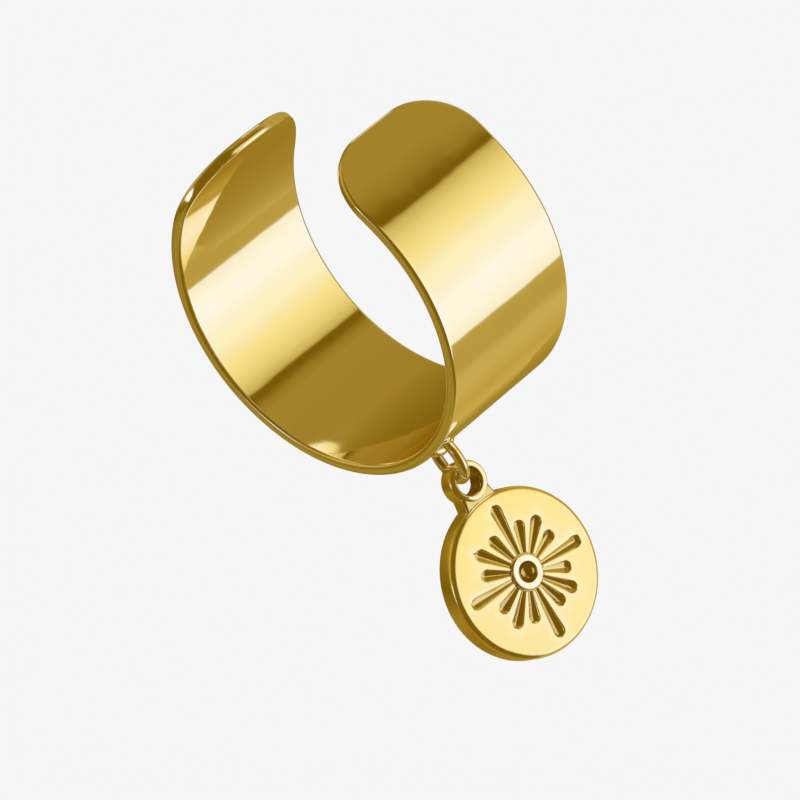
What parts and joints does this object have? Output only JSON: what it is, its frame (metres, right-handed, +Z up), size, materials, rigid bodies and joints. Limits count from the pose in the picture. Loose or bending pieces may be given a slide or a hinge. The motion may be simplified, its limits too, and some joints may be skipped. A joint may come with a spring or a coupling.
{
  "type": "open finger ring with a hanging charm",
  "caption": "Open, adjustable wide plain band with a wire eye, a jump ring and a thick round charm engraved with a sunburst, in polished gold.",
  "frame": {"origin": "on the finger's axis, at the middle of the band's width, where the finger holds the ring up", "axes": "+Y along the finger, +Z up, with the band's gap on top towards +X and the charm hanging along -Z"},
  "size_m": [0.0186, 0.0096, 0.0322],
  "materials": {
    "band_gold": "mirror-polished gold plating",
    "jump_ring_gold": "polished gold plating",
    "charm_gold": "polished gold plating on a softly uneven cast face"
  },
  "bodies": {
    "band": {"band": "band_gold"},
    "jump_ring": {"jump_ring": "jump_ring_gold"},
    "charm": {"charm": "charm_gold"}
  },
  "joints": [
    {"name": "jump_ring_swing", "type": "hinge", "parent": "band", "child": "jump_ring", "pos_m": [-0.0024, 0, -0.01022], "axis": [0, 1, 0], "range_deg": [-45, 60]},
    {"name": "charm_swing", "type": "hinge", "parent": "jump_ring", "child": "charm", "pos_m": [-0.0024, 0, -0.01212], "axis": [0.9898, -0.1426, 0], "range_deg": [-60, 60]}
  ]
}
